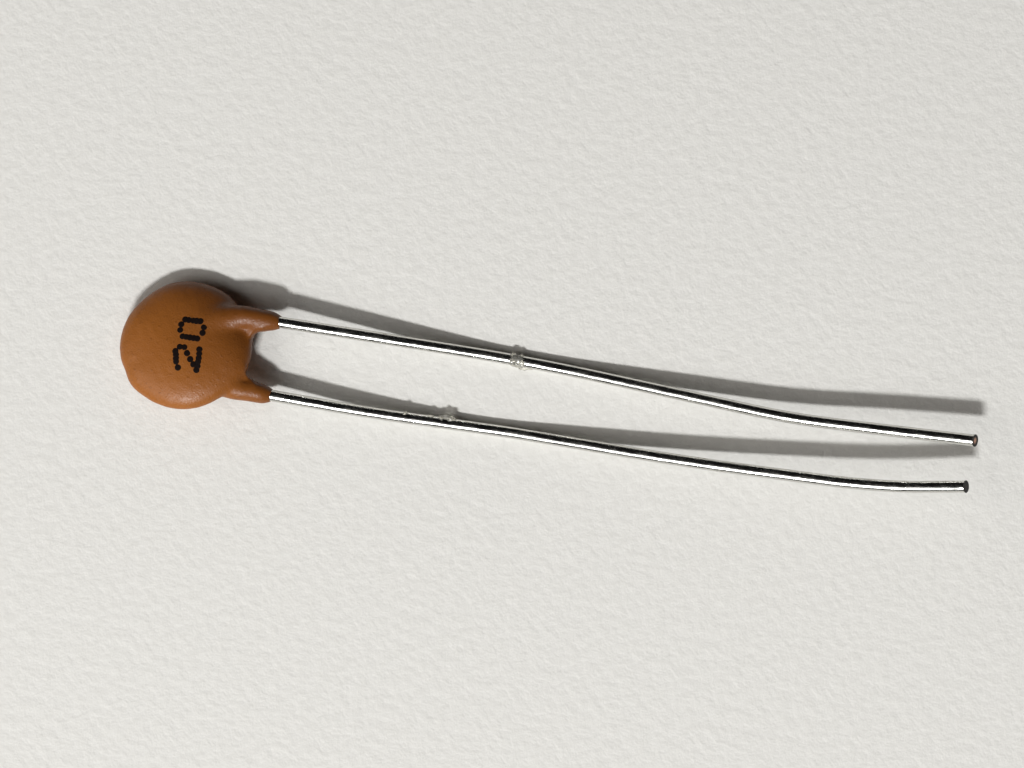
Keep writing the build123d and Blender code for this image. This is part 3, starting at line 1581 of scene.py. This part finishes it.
# Assembly


def dress_hidden_nodes(nodes: dict[str, bpy.types.Object]) -> None:
    """Gives the CAD nodes inside the coating their finishes.

    Args:
        nodes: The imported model's nodes by name.
    """
    ceramic = HiddenPart("fired_ceramic", "D8C7A4", "C4AF88", 0.08, 0.0, 0.7).build()
    silver = HiddenPart("fired_silver", "DCDAD4", "BDBAB2", 0.05, 1.0, 0.45).build()
    solder = HiddenPart("tin_solder", "C9CACC", "A9ABAE", 0.12, 1.0, 0.3).build()
    dress = {
        "ceramic_disc": ceramic,
        "front_electrode": silver,
        "back_electrode": silver,
        "front_solder": solder,
        "back_solder": solder,
    }
    for name, finish in dress.items():
        for place in nodes[name].material_slots:
            place.material = finish


def lead_pair(lie: Lie) -> tuple[Lead, Lead]:
    """Sets out the two leads: where each leaves the disc, and how it is bent.

    Args:
        lie: Sizes that the disc and its leads share.

    Returns:
        The front lead and the back lead.
    """
    front = Lead(
        "front_lead",
        Face.FRONT,
        1.17,
        ((0.329, -0.06, 0.0), (0.434, -0.15, 0.0), (0.745, -0.64, 0.70), (0.871, -0.55, 0.97)),
        (1.0, -0.44, 1.12),
        lie,
        seed=0.01,
    )
    back = Lead(
        "back_lead",
        Face.BACK,
        1.20,
        (
            (0.168, -0.12, 0.28),
            (0.305, -0.08, 0.0),
            (0.370, -0.06, 0.0),
            (0.616, -0.13, 0.57),
            (0.834, 0.00, 1.08),
            (0.907, 0.145, 1.22),
        ),
        (1.0 - BACK_CUT / lie.reach, 0.505, 1.31),
        lie,
        seed=0.05,
    )
    return front, back


def residue_lumps() -> tuple[Residue, ...]:
    """Sets out the lumps of residue, with the middle and the radii of each drop.

    Returns:
        The lump on the front lead and the three on the back lead.
    """
    front = (
        (-1.22, 1.17, 0.262, 0.16, 0.23, 0.23),
        (-0.98, 1.14, 0.258, 0.20, 0.24, 0.22),
        (-0.72, 0.98, 0.16, 0.20, 0.10, 0.05),
    )
    back = ((-3.10, -1.16, 0.30, 0.30, 0.15, 0.12), (-3.36, -1.20, 0.36, 0.12, 0.09, 0.08))
    sliver = ((-3.70, -1.17, 0.38, 0.12, 0.05, 0.05),)
    speck = ((-4.62, -1.20, 0.46, 0.12, 0.08, 0.07),)
    return (
        Residue("residue_front", front, seed=5),
        Residue("residue_back", back, seed=6),
        Residue("residue_back_sliver", sliver, seed=7),
        Residue("residue_back_speck", speck, seed=8),
    )


def report(made: bpy.types.Object) -> None:
    """Logs a finished piece with its number of faces."""
    log.info("%s: %d faces", made.name, len(made.data.polygons))


def main() -> None:
    """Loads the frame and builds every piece."""
    logging.basicConfig(level=logging.INFO, format="%(name)s: %(message)s")
    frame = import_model()
    lie = Lie()
    Studio().build(PlainPaper().build())
    front, back = lead_pair(lie)
    wire_tree = Lead.tree()
    tinned = TinnedWire().build()

    # The back lead's cut face is dark right across: its near-black core is painted shade on the same copper
    # as the front lead's
    for lead, cut in ((front, CutEnd()), (back, CutEnd(core="1C1411"))):
        report(lead.build(wire_tree, tinned, cut))
    shell = Coating(lie, (front, back)).build(PhenolicCoating().build())
    report(shell)
    print_run = DotPrint(lie)
    ink = MarkingInk().build()
    for name, dots in (("digit_two", print_run.two), ("digit_zero", print_run.zero)):
        report(print_run.build(name, dots, shell, ink))
    clear = ClearResidue().build()
    for lump in residue_lumps():
        report(lump.build(clear))
    dress_hidden_nodes(frame["nodes"])


if __name__ == "__main__":
    main()
